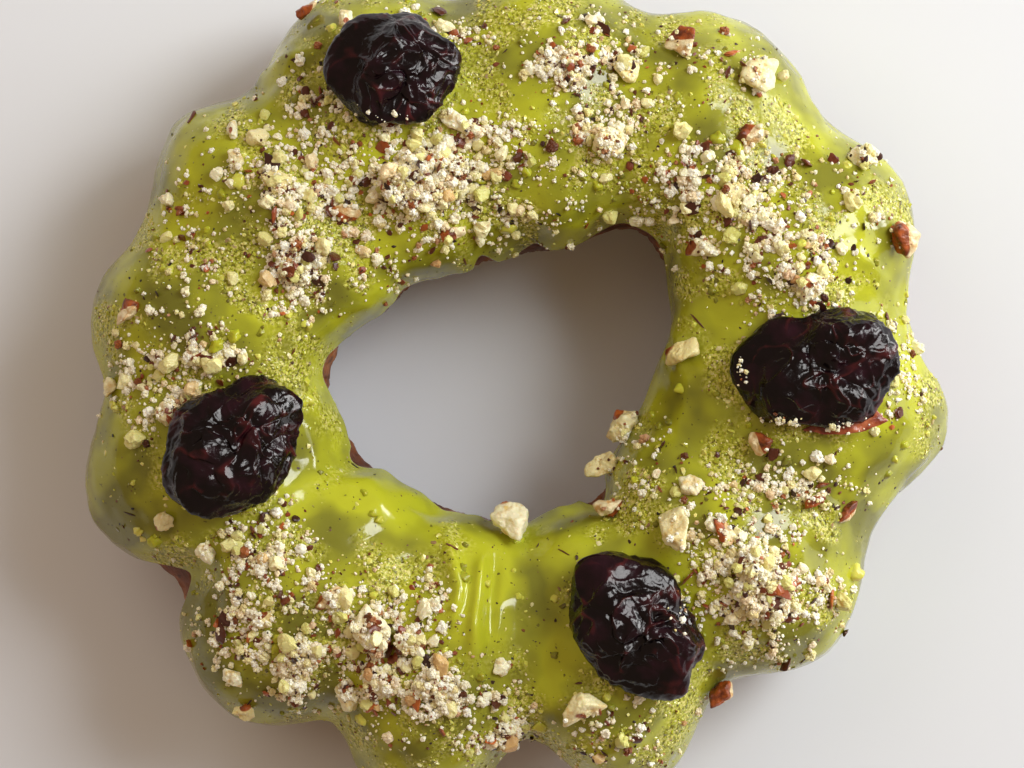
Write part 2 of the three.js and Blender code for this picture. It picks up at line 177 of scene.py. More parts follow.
def blurred(grid, widths):
    """A grid that closes on itself both ways, blurred by a bell curve of these widths in samples."""
    spectrum = np.fft.fft2(grid)
    for axis, width in enumerate(widths):
        waves = np.fft.fftfreq(grid.shape[axis])
        keep = np.exp(-2 * (math.pi * waves * width) ** 2)
        spectrum *= keep[:, None] if axis == 0 else keep[None, :]
    return np.fft.ifft2(spectrum).real


def cubic_weights(t):
    """The weights of four samples in a row, for a place at share t between the middle two."""
    return (
        ((-t + 2) * t - 1) * t / 2,
        ((3 * t - 5) * t * t + 2) / 2,
        ((-3 * t + 4) * t + 1) * t / 2,
        (t - 1) * t * t / 2,
    )


def sampled(grid, bearing, turn):
    """A grid's value at bearings and turns in radians, by cubic interpolation."""
    u = bearing / FULL_TURN * grid.shape[0]
    v = turn / FULL_TURN * grid.shape[1]
    i, j = np.floor(u).astype(int), np.floor(v).astype(int)
    total = 0
    for a, row_weight in enumerate(cubic_weights(u - i)):
        for b, column_weight in enumerate(cubic_weights(v - j)):
            found = grid[(i + a - 1) % grid.shape[0], (j + b - 1) % grid.shape[1]]
            total = total + row_weight * column_weight * found
    return total


class Ring:
    """The doughnut in ring coordinates: a bearing round the z axis, and a turn round the section's middle.

    A turn is 0 outwards, a quarter up and a half towards the hole.
    """

    def __init__(self):
        self.core = CORE_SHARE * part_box("dough_ring")[1].z / MM
        middles, dough_reach, glaze_reach = self.measured()
        self.middles = blurred(np.repeat(middles[:, None], TURNS, axis=1), FACET_BLUR)
        self.dough_reach = blurred(dough_reach, FACET_BLUR)
        glazed = np.isfinite(glaze_reach)
        thickness = np.where(glazed, glaze_reach - dough_reach, np.nanmean(glaze_reach - dough_reach))
        self.thickness = blurred(thickness, THICKNESS_BLUR)
        self.outer_edge, self.inner_edge = self.edges(glazed)

    def measured(self):
        """The sections' middles, and how far dough and glaze reach from them: nan where there's no glaze."""
        dough, glaze = (search_tree([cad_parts[name]]) for name in ("dough_ring", "matcha_glaze"))
        middles = np.zeros(BEARINGS)
        dough_reach = np.zeros((BEARINGS, TURNS))
        glaze_reach = np.full((BEARINGS, TURNS), np.nan)
        axis = Vector((0, 0, self.core))
        for i, bearing in enumerate(around(BEARINGS)):
            outwards = Vector((math.cos(bearing), math.sin(bearing), 0))
            inner = dough.ray_cast(axis, outwards)[3]
            outer = FAR - dough.ray_cast(axis + outwards * FAR, -outwards)[3]
            middles[i] = (inner + outer) / 2
            middle = axis + outwards * middles[i]
            for j, turn in enumerate(around(TURNS)):
                direction = outwards * math.cos(turn) + Vector((0, 0, math.sin(turn)))
                dough_reach[i, j] = dough.ray_cast(middle, direction)[3]
                hit = glaze.ray_cast(middle + direction * OFF_GLAZE, -direction, OFF_GLAZE)
                if hit[0] is not None:
                    glaze_reach[i, j] = OFF_GLAZE - hit[3]
        return middles, dough_reach, glaze_reach

    @staticmethod
    def edges(glazed):
        """The glaze's two edges at each sampled bearing, as turns, blurred a little."""
        wrapped = (around(TURNS) + FULL_TURN / 4) % FULL_TURN - FULL_TURN / 4
        outer = np.array([wrapped[row].min() for row in glazed])
        inner = np.array([wrapped[row].max() for row in glazed])
        both = [np.repeat(e[:, None], TURNS, axis=1) for e in (outer, inner)]
        return [blurred(e, EDGE_BLUR) for e in both]

    def point(self, bearing, turn, reach):
        """Points in space, from ring coordinates and how far they are from the section's middle."""
        radius = sampled(self.middles, bearing, turn) + reach * np.cos(turn)
        height = self.core + reach * np.sin(turn)
        return np.stack([radius * np.cos(bearing), radius * np.sin(bearing), height], axis=-1)

    def dough(self, bearing, turn):
        """How far the dough reaches, cut off at the resting plane."""
        reach = sampled(self.dough_reach, bearing, turn)
        down = -np.sin(turn)
        floor = np.where(down > 0.01, self.core / np.maximum(down, 0.01), np.inf)
        return np.minimum(reach, floor)


def tube(loops):
    """Vertices and faces of a ring-shaped mesh, from a closed loop of points per station."""
    stations, count = loops.shape[:2]
    at = np.arange(stations * count).reshape(stations, count)
    ahead = np.roll(at, -1, axis=0)
    quads = np.stack([at, ahead, np.roll(ahead, -1, axis=1), np.roll(at, -1, axis=1)], axis=-1)
    return loops.reshape(-1, 3), quads.reshape(-1, 4)


# ---- Dough ----
DOUGH_STATIONS = 560
DOUGH_POINTS = 150
BLISTERS = 0.20  # how high they rise
PITS = 0.40  # how deep they are


def make_dough(ring, material):
    """The fried ring: blistered and pitted, but flat where it rests."""
    bearing, turn = np.meshgrid(around(DOUGH_STATIONS), around(DOUGH_POINTS), indexing="ij")
    bearing, turn = bearing.ravel(), turn.ravel()
    smooth = ring.point(bearing, turn, ring.dough(bearing, turn))
    noise = Noise(3)
    blisters = BLISTERS * noise.fractal(smooth, 1.5, 4, 0.6)
    pits = -PITS * smoothstep(0.20, 0.55, noise(smooth + 50, 1.2))
    raised = smoothstep(0.0, 0.6, smooth[:, 2])
    reach = ring.dough(bearing, turn) + (blisters + pits) * raised
    points = ring.point(bearing, turn, reach)
    points[:, 2] = np.maximum(points[:, 2], 0)
    vertices, faces = tube(points.reshape(DOUGH_STATIONS, DOUGH_POINTS, 3))
    piece = make_piece("dough_crust", vertices, faces, material)
    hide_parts("dough_ring")


# ---- Where the glaze is clean or gritty, and where light and shade are painted on it ----
CLUMPS = Noise(77)  # where crumbs lie thick
GRIT_FADE = (13.0, 20.0)  # the grit fades out between these heights on the sides
# Where the glaze is clean: place on the plan, half sizes and turn in degrees.
CLEAN = [
    (-41.0, -11.5, 5.0, 8.5, 0),
    (-34.0, 8.0, 4.5, 5.0, 0),
    (-31.0, -27.0, 6.5, 7.5, 0),
    (3.5, -26.0, 3.5, 6.5, 0),
    (-13.0, -12.5, 7.5, 4.0, -35),
    (36.5, -9.5, 5.5, 7.5, 0),
    (26.5, 34.5, 7.0, 6.0, 0),
    (40.0, 8.0, 3.0, 8.0, 0),
    (16.0, -1.5, 3.0, 7.5, 0),
    (-35.0, 25.0, 5.0, 6.0, 30),
    (-3.6, -21.5, 5.0, 7.5, 0),
    (5.0, -12.5, 5.0, 2.5, 0),
    (8.0, 17.0, 6.0, 3.0, 0),
    (35.0, 15.0, 4.0, 3.5, 0),
]
# Painted light and shade on the glaze: ovals where its colour is made paler to paint light and highlights
# on, or darker to paint shade on: place on the plan, half sizes, turn in degrees, and by how much.
PAINTED_LIGHT_AND_SHADE = [
    (-5.0, -21.0, 4.5, 8.5, 0, 0.6),
    (-15.5, -10.0, 6.0, 4.0, -35, 0.5),
    (-9.0, 15.0, 9.0, 3.0, 8, 0.5),
    (-32.0, 21.0, 4.0, 6.0, 20, 0.3),
    (-24.0, -12.5, 4.0, 3.0, 0, 0.4),
    (36.0, 6.0, 5.0, 8.0, 0, 0.5),
    (23.0, 25.5, 5.5, 5.5, 0, -0.7),
    (-20.5, -26.0, 3.5, 5.0, 0, -0.8),
    (33.0, -14.0, 5.5, 4.5, 0, -0.6),
    (-35.0, 8.0, 4.5, 4.5, 0, -0.5),
    (8.0, 36.0, 5.5, 5.0, 0, -0.5),
    (18.0, -3.0, 4.0, 8.0, 0, -0.15),
    (-31.5, -27.0, 4.0, 6.0, 0, -0.5),
    (5.0, -28.0, 4.0, 8.0, 0, 0.1),
    (-41.0, -11.0, 5.0, 9.0, 0, -0.4),
    (28.0, -10.0, 6.0, 5.0, 0, -0.35),
]


def in_oval(points, x, y, long, wide, turn):
    """How far out places are in an oval on the plan: 0 in its middle and 1 on its edge."""
    turn = math.radians(turn)
    across, up = points[:, 0] - x, points[:, 1] - y
    along = (across * math.cos(turn) + up * math.sin(turn)) / long
    aside = (up * math.cos(turn) - across * math.sin(turn)) / wide
    return np.hypot(along, aside)


def painted_lightness(points):
    """How much light or shade is painted on the glaze, from 0 to 1 with 0.5 for none, at places on the plan.
    """
    total = np.full(len(points), 0.5)
    # Each oval paints light (paler) or shade (darker) into the glaze's colour.
    for *oval, amount in PAINTED_LIGHT_AND_SHADE:
        total += amount * smoothstep(1.3, 0.3, in_oval(points, *oval))
    return np.clip(total, 0, 1)


def grittiness(points):
    """How thick the coated crumbs are, from 0 to 1, at points on the glaze."""
    flat = points * (1, 1, 0)
    clumps = smoothstep(-0.15, 0.5, CLUMPS(flat, 5.0) + 0.6 * CLUMPS(flat + 9, 2.0))
    for oval in CLEAN:
        clumps = clumps * smoothstep(0.6, 1.2, in_oval(points, *oval))
    return clumps * smoothstep(*GRIT_FADE, points[:, 2])


# ---- Glaze ----
GLAZE_STATIONS = 640
GLAZE_ROWS = 138
UNDER_ROWS = 10
EMBED = 0.25  # how far the glaze's underside is sunk into the dough
CROWN = 1.5  # about how far the glaze's surface is off the dough
EDGE_THICKNESS = 1.15
THINNING = 7.0  # the glaze thins towards its edges over this distance
LIP = 0.9  # and rounds off over this one
BEAD = 0.25  # how much the glaze swells just above its outer edge
GRIT = 0.13  # how high the grit under the glaze stands
EDGE_CIRCLE = 30.0  # the edges' unevenness is read off the noise along this circle
HOLE_STOP = 2.88  # the turn that the glaze doesn't run past on the hole's side, but for its uneven edge
# Nuts cling to the hole's wall round this bearing, and the glaze runs on beneath them: the bearing and the
# half width in degrees, and how much further the glaze goes.
CLINGING_STRETCH = (-28, 32, 0.6)
# Ridges and grooves where the glaze ran together: height, width, and points along each on the plan.
FOLDS = [
    (1.00, 0.80, [(-3.6, -16.4), (-3.9, -19.6), (-4.3, -23.2), (-4.4, -29.2)]),
    (-0.60, 0.70, [(-2.2, -16.4), (-2.5, -19.6), (-2.9, -23.2), (-3.0, -29.2)]),
    (0.95, 0.85, [(-8.2, -14.8), (-6.9, -17.6), (-6.1, -20.6), (-6.8, -25.4)]),
    (-0.50, 0.60, [(-12.5, -11.2), (-8.8, -12.7), (-4.4, -13.2)]),
    (0.55, 0.80, [(-12.0, -9.8), (-8.6, -11.1), (-5.0, -11.8)]),
    (0.50, 0.70, [(-28.3, 29.6), (-23.5, 32.6), (-18.5, 34.8)]),
    (-0.40, 0.80, [(-27.5, 28.3), (-23.0, 31.2), (-18.0, 33.3)]),
    (0.40, 0.60, [(39.0, 12.0), (39.6, 7.5), (39.9, 3.0)]),
    (0.45, 0.70, [(15.2, 8.5), (17.0, 5.0), (17.2, 1.0)]),
    (-0.50, 0.80, [(-31.5, -17.0), (-30.0, -21.0), (-31.0, -25.0)]),
    (-0.45, 0.70, [(-17.5, -21.0), (-19.5, -25.0), (-20.5, -30.0)]),
    (0.45, 0.80, [(32.0, 14.5), (35.5, 12.5), (37.0, 9.0)]),
    (0.40, 0.70, [(28.5, -8.5), (31.5, -12.5), (29.5, -16.0)]),
]


def fold_height(points):
    """How much the folds raise or lower the glaze; each fades out towards both its ends."""
    plan = points[..., :2]
    total = np.zeros(plan.shape[:-1])
    for height, width, path in FOLDS:
        nearest = np.full(plan.shape[:-1], np.inf)
        share = np.zeros(plan.shape[:-1])
        for i, (start, end) in enumerate(itertools.pairwise(np.array(path))):
            along = np.clip((plan - start) @ (end - start) / np.sum((end - start) ** 2), 0, 1)
            away = np.linalg.norm(plan - start - along[..., None] * (end - start), axis=-1)
            share = np.where(away < nearest, (i + along) / (len(path) - 1), share)
            nearest = np.minimum(nearest, away)
        fading = smoothstep(0.0, 0.3, share) * smoothstep(1.0, 0.7, share)
        total += height * fading * np.exp(-((nearest / width) ** 2))
    return total


def glaze_shares():
    """Where the rows lie from the outer edge, 0, to the inner one, 1: closer together near both."""
    place = np.linspace(0, 1, GLAZE_ROWS - 1)
    steps = 1 - 0.75 * np.exp(-((place / 0.05) ** 2)) - 0.75 * np.exp(-(((1 - place) / 0.05) ** 2))
    return np.concatenate([[0], np.cumsum(steps)]) / steps.sum()


def glaze_edges(ring, bearing):
    """The turns of the glaze's outer and inner edges at a column of bearings, both made uneven."""
    noise = Noise(5)
    level = np.zeros_like(bearing)
    circle = EDGE_CIRCLE * np.column_stack([np.cos(bearing), np.sin(bearing), level])
    outer = sampled(ring.outer_edge, bearing, level) - 0.11 * noise.fractal(circle, 4.0, 3)[:, None]
    place, width, further = CLINGING_STRETCH
    stop = HOLE_STOP + further * np.exp(-((degrees_off(np.degrees(bearing), place) / width) ** 2))
    inner = np.minimum(sampled(ring.inner_edge, bearing, level), stop)
    return outer, inner + 0.08 * noise.fractal(circle + 90, 7.0, 2)[:, None]


def glaze_relief(points):
    """How much the glaze's flow, folds and grit raise it."""
    noise = Noise(8)
    flow = 0.36 * noise(points, 9.0) + 0.26 * noise(points + 30, 4.2) + 0.09 * noise(points + 60, 1.9)
    grit = GRIT * grittiness(points) * noise.fractal(points + 90, 1.0, 2, 0.7)
    detail = fold_height(points) + grit
    return flow + detail


def glaze_thickness(ring, bearing, turn, from_outer, from_inner):
    """How thick the glaze is, from its distances to its edges along the dough."""
    surface = ring.point(bearing, turn, ring.dough(bearing, turn) + CROWN)
    relief = glaze_relief(surface.reshape(-1, 3)).reshape(turn.shape)
    bead = BEAD * np.exp(-(((from_outer - 1.3) / 1.1) ** 2))
    thickness = sampled(ring.thickness, bearing, turn) + relief + bead
    from_edge = np.minimum(from_outer, from_inner)
    rounding = np.sqrt(np.clip(1 - (1 - np.clip(from_edge / LIP, 0, 1)) ** 2, 0, 1))
    full = smoothstep(0.0, THINNING, from_edge)
    return (EDGE_THICKNESS + (thickness - EDGE_THICKNESS) * full) * rounding


def make_glaze(ring, material):
    """The poured coat: an upper side with folds and a rounded lip, and an underside sunk in the dough."""
    bearing = around(GLAZE_STATIONS)[:, None]
    outer, inner = glaze_edges(ring, bearing)
    turn = outer + (inner - outer) * glaze_shares()
    base = ring.dough(bearing, turn)
    thickness = glaze_thickness(ring, bearing, turn, (turn - outer) * base, (inner - turn) * base)
    upper = ring.point(bearing, turn, base + thickness)
    under_turn = outer + (inner - outer) * np.linspace(1, 0, UNDER_ROWS)
    under = ring.point(bearing, under_turn, ring.dough(bearing, under_turn) - EMBED)
    vertices, faces = tube(np.concatenate([upper, under], axis=1))
    piece = make_piece("glaze_coat", vertices, faces, material)
    mark(piece, "gritty", grittiness(vertices))
    # The painted light and shade for the finish, from the ovals.
    mark(piece, "painted_light", painted_lightness(vertices))
    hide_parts("matcha_glaze")
    return piece


# ---- Balls: closed shapes that reach out from a middle ----
OFF_NODE = 15.0  # further from a topping's middle than any of it
HOLLOW_REACH = 0.3  # used where a topping's underside arches over its own middle


@functools.cache
def ball(detail):
    """Directions spread evenly over a ball, and the triangles between them."""
    mesh = bmesh.new()
    bmesh.ops.create_icosphere(mesh, subdivisions=detail, radius=1)
    directions = np.array([v.co.normalized() for v in mesh.verts])
    faces = np.array([[v.index for v in face.verts] for face in mesh.faces])
    mesh.free()
    return directions, faces


def relaxed(values, faces, times):
    """Values at a mesh's corners, averaged with their neighbours this many times."""
    here, there = faces.ravel(), np.roll(faces, -1, axis=1).ravel()
    neighbours = np.bincount(here)
    for _ in range(times):
        values = (values + np.bincount(here, values[there]) / neighbours) / 2
    return values


class Recast:
    """A CAD node as a fine ball: its middle, and how far it reaches in each direction."""

    def __init__(self, node, detail, softening):
        self.directions, self.faces = ball(detail)
        low, high = (np.array(corner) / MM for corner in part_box(node))
        self.middle = (low + high) / 2
        tree = search_tree([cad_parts[node]])
        starts = self.middle + self.directions * OFF_NODE
        hits = [tree.ray_cast(Vector(a), Vector(-d), OFF_NODE) for a, d in zip(starts, self.directions)]
        reach = [HOLLOW_REACH if hit[0] is None else OFF_NODE - hit[3] for hit in hits]
        self.reach = relaxed(np.array(reach), self.faces, softening)

    def offsets(self):
        """The surface's points, from the middle."""
        return self.directions * self.reach[:, None]

    def vertices(self, reach, sink):
        """The surface's points with another reach, lowered into what is below."""
        return self.middle + self.directions * reach[:, None] - [0, 0, sink]


# ---- Cranberries ----
BERRY_SINK = 1.0  # the berries settle this far into the glaze
BERRY_SWELL = 0.15
# The side that is most wrinkled, as a bearing, how much smoother the other is, and pulls at its outline:
# each a bearing, a width in degrees, and how far it moves out.
BERRIES = {
    "cranberry_top": (-30, 0.5, [(150, 30, 0.3), (30, 25, 0.3)]),
    "cranberry_left": (60, 0.8, [(-20, 25, -0.3)]),
    "cranberry_right": (10, 0.35, [(38, 16, 1.3), (105, 18, -0.9), (-35, 20, 0.9), (-95, 16, -0.3)]),
    "cranberry_bottom": (-60, 0.6, [(130, 18, 0.9), (-10, 20, 0.3)]),
}
# The loose skin at the right cranberry's lower edge: place on the plan, half sizes, turn in degrees, and
# height off the glaze.
FLAP = (33.2, -3.4, 4.0, 1.1, 6, 1.5)
FLAP_THICKNESS = 0.22


def crest(noise, points, period, width):
    """A network of thin ridges, 1 on their crests, along the lines where the noise is nought."""
    return np.exp(-np.sqrt(noise(points, period) ** 2 + 0.0004) / width)


def wrinkled(noise, points, lively, outline):
    """How much a berry's skin rises, and from 0 to 1 how much each point is on a crest."""
    warp = np.stack([noise(points + 20 * i, 2.6) for i in (1, 2, 3)], axis=1)
    warped = points + 0.8 * warp
    lumps = 0.36 * noise(warped, 2.6) + 0.20 * noise(warped + 30, 1.3)
    plump = 0.60 * noise(points + 60, 5.0) + lively * lumps
    furrows = crest(noise, warped + 10, 3.6, 0.14)
    ridges = crest(noise, warped + 40, 3.6, 0.12)
    wrinkles = crest(noise, warped + 80, 2.1, 0.13)
    creases = crest(noise, warped + 120, 1.2, 0.16)
    rise = plump - 0.55 * furrows * lively + 0.34 * ridges + 0.26 * wrinkles * lively
    rise = rise * outline + 0.10 * creases * lively + 0.035 * noise(points, 0.6) + 0.02 * noise(points, 0.3)
    return rise, np.clip(0.9 * ridges + 0.7 * lively * wrinkles, 0, 1)


def make_cranberry(name, seed, material):
    """A dried berry: its CAD node with a pulled outline, wrinkled most on one side."""
    side, smoothness, pulls = BERRIES[name]
    shape = Recast(name, 7, 8)
    bearing = np.degrees(np.arctan2(shape.directions[:, 1], shape.directions[:, 0]))
    level = np.hypot(shape.directions[:, 0], shape.directions[:, 1])
    for place, width, out in pulls:
        shape.reach += out * level**2 * np.exp(-((degrees_off(bearing, place) / width) ** 2))
    points = shape.offsets()
    across = points @ np.array([math.cos(math.radians(side)), math.sin(math.radians(side)), 0])
    lively = smoothness + (1.3 - smoothness) * smoothstep(-2.5, 2.5, across)
    outline = 1 - 0.6 * smoothstep(0.8, 1.0, level)
    rise, crests = wrinkled(Noise(100 + seed), points, lively, outline)
    vertices = shape.vertices(shape.reach + BERRY_SWELL + rise, BERRY_SINK)
    piece = make_piece(name + "_fruit", vertices, shape.faces, material)
    mark(piece, "crest", crests)
    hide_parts(name)
    return piece


def make_flap(ground, material):
    """A thin, bent tongue of skin that sticks out from under a cranberry."""
    x, y, long, wide, turn, lift = FLAP
    directions, faces = ball(6)
    noise = Noise(150)
    edge = 1 + 0.22 * noise(directions * (1, 1, 0), 0.5)
    points = directions * np.stack([long * edge, wide * edge, np.full_like(edge, FLAP_THICKNESS)], axis=1)
    bend = 0.10 * points[:, 1] ** 2 - 0.035 * points[:, 0] ** 2
    points[:, 2] += bend + 0.16 * noise(points * (1, 1, 0) + 9, 1.3)
    points[:, :2] = turned(points[:, :2], turn)
    resting, _ = below(ground, [(x, y)])
    vertices = points + resting + [0, 0, lift]
    return make_piece("cranberry_right_skin", vertices, faces, material)


# ---- Chopped nuts ----
NUT_SINK = 0.75
CLINGING = ("nut_kernel_26", "nut_kernel_27")  # these cling to the hole's wall
GRIP = 0.4  # how far they stick into it


def pressed(vertices, ground):
    """A nut's vertices, moved towards the glaze until its closest one is sunk by the grip."""
    nearest = [ground.find_nearest(Vector(v)) for v in vertices]
    gaps = [(Vector(v) - hit[0]).dot(hit[1]) for v, hit in zip(vertices, nearest)]
    closest = int(np.argmin(gaps))
    return vertices - (gaps[closest] + GRIP) * np.array(nearest[closest][1])


def make_nut(name, seed, ground, material):
    """A chopped nut: its CAD node with chipped faces, and skin on one side."""
    shape = Recast(name, 5, 2)
    noise = Noise(200 + seed)
    points = shape.offsets()
    chips = 0.22 * noise.fractal(points, 2.0, 2) + 0.13 * noise.fractal(points + 30, 0.7, 3, 0.6)
    vertices = shape.vertices(shape.reach * 1.04 + chips, NUT_SINK)
    if name in CLINGING:
        vertices = pressed(vertices, ground)
    piece = make_piece(name.replace("nut_", "chopped_"), vertices, shape.faces, material)
    lean = np.random.default_rng(seed).normal(size=3)
    mark(piece, "skinned", shape.directions @ (lean / np.linalg.norm(lean)) + 0.25 * noise(points, 1.5))
    mark(piece, "tone", np.full(len(vertices), np.random.default_rng(seed).random()))
    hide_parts(name)
    return piece


def make_nuts(slot, first_seed, ground, material):
    """All the nuts whose CAD nodes are named after a material slot."""
    names = sorted(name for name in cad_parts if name.startswith(slot))
    return [make_nut(name, first_seed + i, ground, material) for i, name in enumerate(names)]


# ---- Shapes of crumbs ----
def crumb_shapes(seed, detail, count, roughness, stretch=(1, 1, 1)):
    """Several rough closed shapes that reach about 1 from their middles, cut by flat chips."""
    rng = np.random.default_rng(seed)
    directions, faces = ball(detail)
    shapes = []
    for i in range(count):
        reach = 1 + roughness * Noise(seed * 50 + i)(directions, 0.7)
        for _ in range(6):
            chip = rng.normal(size=3)
            along = directions @ (chip / np.linalg.norm(chip))
            reach = np.minimum(reach, rng.uniform(0.6, 0.95) / np.maximum(along, 0.05))
        shapes.append(directions * reach[:, None] * stretch * rng.uniform(0.8, 1.25, size=3))
    return np.array(shapes), faces


GRAINS = crumb_shapes(1, 1, 24, 0.5)
FLAKES = crumb_shapes(3, 2, 16, 0.6, (1.0, 0.75, 0.24))
GRITS = crumb_shapes(4, 1, 24, 0.7, (1.0, 0.75, 0.5))
CHIPS = crumb_shapes(5, 3, 20, 0.45)
SLIVERS = crumb_shapes(6, 2, 8, 0.4, (1.0, 0.16, 0.12))


def clump_shapes(seed, count, grains, detail):
    """Craggy clumps: a rough crumb with grains stuck all over it."""
    rng = np.random.default_rng(seed)
    hearts, heart_faces = crumb_shapes(seed, detail, count, 0.5)
    grain_forms, grain_faces = GRAINS
    forms, faces = [], [heart_faces]
    for i in range(grains):
        faces.append(grain_faces + len(hearts[0]) + i * len(grain_forms[0]))
    for heart in hearts:
        parts = [0.8 * heart]
        for _ in range(grains):
            where = rng.normal(size=3)
            where *= 0.68 / np.linalg.norm(where)
            parts.append(grain_forms[rng.integers(len(grain_forms))] * rng.uniform(0.25, 0.55) + where)
        forms.append(np.concatenate(parts))
    return np.array(forms), np.concatenate(faces)


# Crumbs of nut, by size: the shapes that they take, and the size that each kind starts from.
NUT_KINDS = [(GRAINS, 0), (clump_shapes(2, 24, 6, 2), 0.22), (clump_shapes(7, 16, 16, 3), 0.42)]


# ---- Crumbs strewn on a surface ----
# Radii of crumbs: the middle one, the spread of their logarithms, and the largest.
NUT_SIZES = (0.175, 0.5, 0.65)
DUST_SIZES = (0.08, 0.4, 0.18)
CHIP_SIZES = (0.52, 0.4, 1.1)
SKIN_SIZES = (0.23, 0.6, 1.0)
BERRY_DUST_SIZES = (0.13, 0.5, 0.4)
COATED_SIZES = (0.15, 0.5, 0.5)
LUMP_SIZES = (0.42, 0.35, 0.9)
SPECK_SIZES = (0.085, 0.5, 0.3)


def frames_on(normals, rng, tumble):
    """An orientation for each crumb: its own up is the surface's, tumbled at random."""
    up = normals + tumble * rng.normal(size=normals.shape)
    up /= np.linalg.norm(up, axis=1)[:, None]
    side = np.cross(up, rng.normal(size=up.shape))
    side /= np.linalg.norm(side, axis=1)[:, None]
    return np.stack([side, np.cross(up, side), up], axis=2)


def sizes_for(rng, count, middle, spread_of_logs, largest):
    """Radii: many small, few large."""
    return np.minimum(rng.lognormal(math.log(middle), spread_of_logs, count), largest)


class Crumbs:
    """Crumbs of one kind, gathered into one mesh."""

    def __init__(self):
        self.vertices, self.faces, self.tones = [], [], []
        self.total = 0

    def add(self, shapes, places, sizes, frames, rng):
        """Adds a crumb at each place, of a shape drawn from these."""
        forms, faces = shapes
        chosen = forms[rng.integers(len(forms), size=len(places))] * sizes[:, None, None]
        placed = np.einsum("nij,nmj->nmi", frames, chosen) + places[:, None, :]
        corners = forms.shape[1]
        starts = self.total + corners * np.arange(len(places))
        self.vertices.append(placed.reshape(-1, 3))
        self.faces.append((faces[None] + starts[:, None, None]).reshape(-1, 3))
        self.tones.append(np.repeat(rng.random(len(places)), corners))
        self.total += corners * len(places)

    def scatter(self, shapes, points, normals, sizes, rise, tumble, rng):
        """Adds crumbs that lie on a surface, raised from it by a share of their sizes."""
        places = points + normals * (rise * sizes)[:, None]
        self.add(shapes, places, sizes, frames_on(normals, rng, tumble), rng)

    def add_nut(self, points, normals, sizes, rise, rng):
        """Adds crumbs of nut that lie on a surface, each of the kind that goes with its size."""
        places = points + normals * (sizes * rise)[:, None]
        frames = frames_on(normals, rng, 3)
        ends = [start for _, start in NUT_KINDS[1:]] + [np.inf]
        for (shapes, least), most in zip(NUT_KINDS, ends):
            chosen = (sizes >= least) & (sizes < most)
            self.add(shapes, places[chosen], sizes[chosen], frames[chosen], rng)

    def piece(self, name, slot, material, smooth=False):
        vertices, faces = np.concatenate(self.vertices), np.concatenate(self.faces)
        piece = make_piece(name, vertices, faces, material, smooth)
        mark(piece, "tone", np.concatenate(self.tones))
        return piece


def spread(rng, zone, count, clumping):
    """Places on the plan in an oval zone: thick in its middle, thin at its rim, and in clumps."""
    x, y, long, wide, turn = zone
    spot = rng.normal(size=(6 * count, 2)) * (0.5 * long, 0.5 * wide)
    place = turned(spot, turn) + (x, y)
    flat = np.column_stack([place, np.zeros(len(place))])
    wanted = smoothstep(-0.1, 0.45, CLUMPS(flat, 2.3) + 0.5 * CLUMPS(flat, 0.9))
    keep = rng.random(len(place)) < (1 - clumping) + clumping * wanted
    return place[keep][:count]


def strewn(ground, rng, zone, count, clumping, sizes):
    """Points and normals on the ground in a zone, and a size for the crumb at each."""
    points, normals = below(ground, spread(rng, zone, count, clumping))
    return points, normals, sizes_for(rng, len(points), *sizes)


def all_over(ground, rng, count, half_width, least_up, least_height):
    """Points and normals all over the ground, but for its steepest and its lowest parts."""
    points, normals = below(ground, rng.uniform(-half_width, half_width, size=(count, 2)))
    kept = (normals[:, 2] > least_up) & (points[:, 2] > least_height)
    return points[kept], normals[kept]


# ---- Nut meal: drifts, loose crumbs and dust ----
DRIFTS = 7
DRIFT_SINK = 1.45
DRIFT_CRUMBS = 22  # crumbs per square millimetre of a heap
THICKNESS_OF_ZONES = 2.0  # how many crumbs there are for each that a zone asks for
